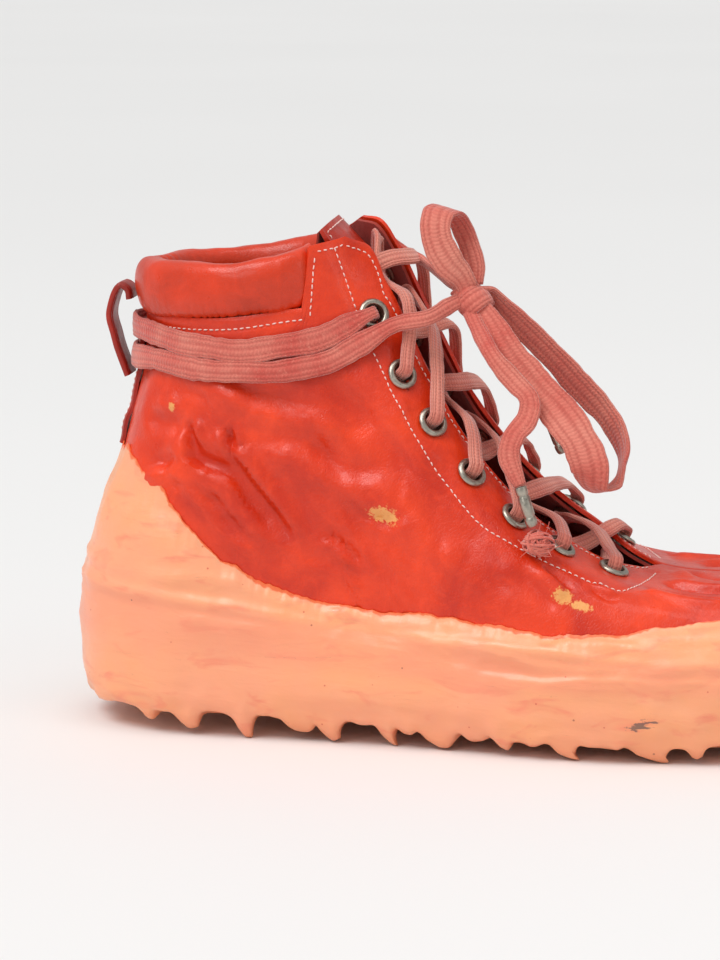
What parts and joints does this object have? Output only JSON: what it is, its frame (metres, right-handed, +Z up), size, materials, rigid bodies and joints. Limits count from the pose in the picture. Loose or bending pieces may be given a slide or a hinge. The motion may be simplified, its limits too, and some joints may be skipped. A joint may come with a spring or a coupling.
{
  "type": "lace-up leather high-top boot",
  "caption": "Lace-up leather high-top boot for the right foot with padded collar, tongue, metal eyelets, wrapped laces and a dripping dipped rubber sole.",
  "frame": {"origin": "on the ground, under the middle of the boot's length and width", "axes": "+X towards the toe, +Y towards the inner (medial) side of the foot, +Z up"},
  "size_m": [0.2908, 0.1114, 0.1702],
  "materials": {
    "leather_red": "waxed full-grain leather, red-orange, satin",
    "leather_dark": "darker red leather, satin",
    "lining_leather": "unfinished red lining leather, matt",
    "padding_foam": "open-cell padding foam",
    "sole_foam": "dense foam sole",
    "fibreboard": "cellulose fibreboard",
    "shank_steel": "bare spring steel",
    "dipped_rubber": "peach rubber dip, semi-gloss",
    "cotton_lace": "flat woven cotton lace",
    "pewter_metal": "antique pewter plating"
  },
  "bodies": {
    "boot": {"leather_upper": "leather_red", "collar_cover": "leather_red", "heel_strip": "leather_dark", "upper_lining": "lining_leather", "facing_lateral": "lining_leather", "facing_medial": "lining_leather", "sock_liner": "lining_leather", "collar_foam": "padding_foam", "midsole_block": "sole_foam", "heel_counter": "fibreboard", "toe_puff": "fibreboard", "lasting_board": "fibreboard", "steel_shank": "shank_steel", "rubber_dip": "dipped_rubber", "lace_crossing_a": "cotton_lace", "lace_crossing_b": "cotton_lace", "lace_wrap_upper": "cotton_lace", "lace_wrap_lower": "cotton_lace", "bow_knot": "cotton_lace", "eyelet_lateral_1": "pewter_metal", "eyelet_lateral_2": "pewter_metal", "eyelet_lateral_3": "pewter_metal", "eyelet_lateral_4": "pewter_metal", "eyelet_lateral_5": "pewter_metal", "eyelet_lateral_6": "pewter_metal", "eyelet_lateral_7": "pewter_metal", "eyelet_medial_1": "pewter_metal", "eyelet_medial_2": "pewter_metal", "eyelet_medial_3": "pewter_metal", "eyelet_medial_4": "pewter_metal", "eyelet_medial_5": "pewter_metal", "eyelet_medial_6": "pewter_metal", "eyelet_medial_7": "pewter_metal"},
    "tongue": {"tongue_leather": "leather_dark", "tongue_foam": "padding_foam", "tongue_lining": "lining_leather"},
    "pull_loop_body": {"pull_loop": "leather_dark"},
    "bow_loop_upper_body": {"bow_loop_upper": "cotton_lace"},
    "bow_loop_lower_body": {"bow_loop_lower": "cotton_lace"},
    "tail_lateral_body": {"lace_tail_lateral": "cotton_lace", "aglet_lateral": "pewter_metal", "lace_end_knot": "cotton_lace"},
    "tail_medial_body": {"lace_tail_medial": "cotton_lace", "aglet_medial": "pewter_metal"}
  },
  "joints": [
    {"name": "tongue_fold", "type": "hinge", "parent": "boot", "child": "tongue", "pos_m": [0.056, 0.0018, 0.0445], "axis": [0, -1, 0], "range_deg": [0, 7], "stiffness_Nm_per_rad": 0.6},
    {"name": "pull_loop_swing", "type": "hinge", "parent": "boot", "child": "pull_loop_body", "pos_m": [-0.1284, 0.0005, 0.112], "axis": [0, -1, 0], "range_deg": [0, 20], "stiffness_Nm_per_rad": 0.03},
    {"name": "bow_loop_upper_swing", "type": "hinge", "parent": "boot", "child": "bow_loop_upper_body", "pos_m": [-0.0165, -0.0135, 0.148], "axis": [0, 1, 0], "range_deg": [0, 40]},
    {"name": "bow_loop_lower_swing", "type": "hinge", "parent": "boot", "child": "bow_loop_lower_body", "pos_m": [-0.012, -0.0135, 0.139], "axis": [0, -1, 0], "range_deg": [0, 25]},
    {"name": "lace_tail_lateral_swing", "type": "hinge", "parent": "boot", "child": "tail_lateral_body", "pos_m": [-0.0125, -0.0225, 0.1325], "axis": [-1, 0, 0], "range_deg": [0, 60]},
    {"name": "lace_tail_medial_swing", "type": "hinge", "parent": "boot", "child": "tail_medial_body", "pos_m": [-0.0115, -0.0085, 0.136], "axis": [1, 0, 0], "range_deg": [0, 34]}
  ]
}
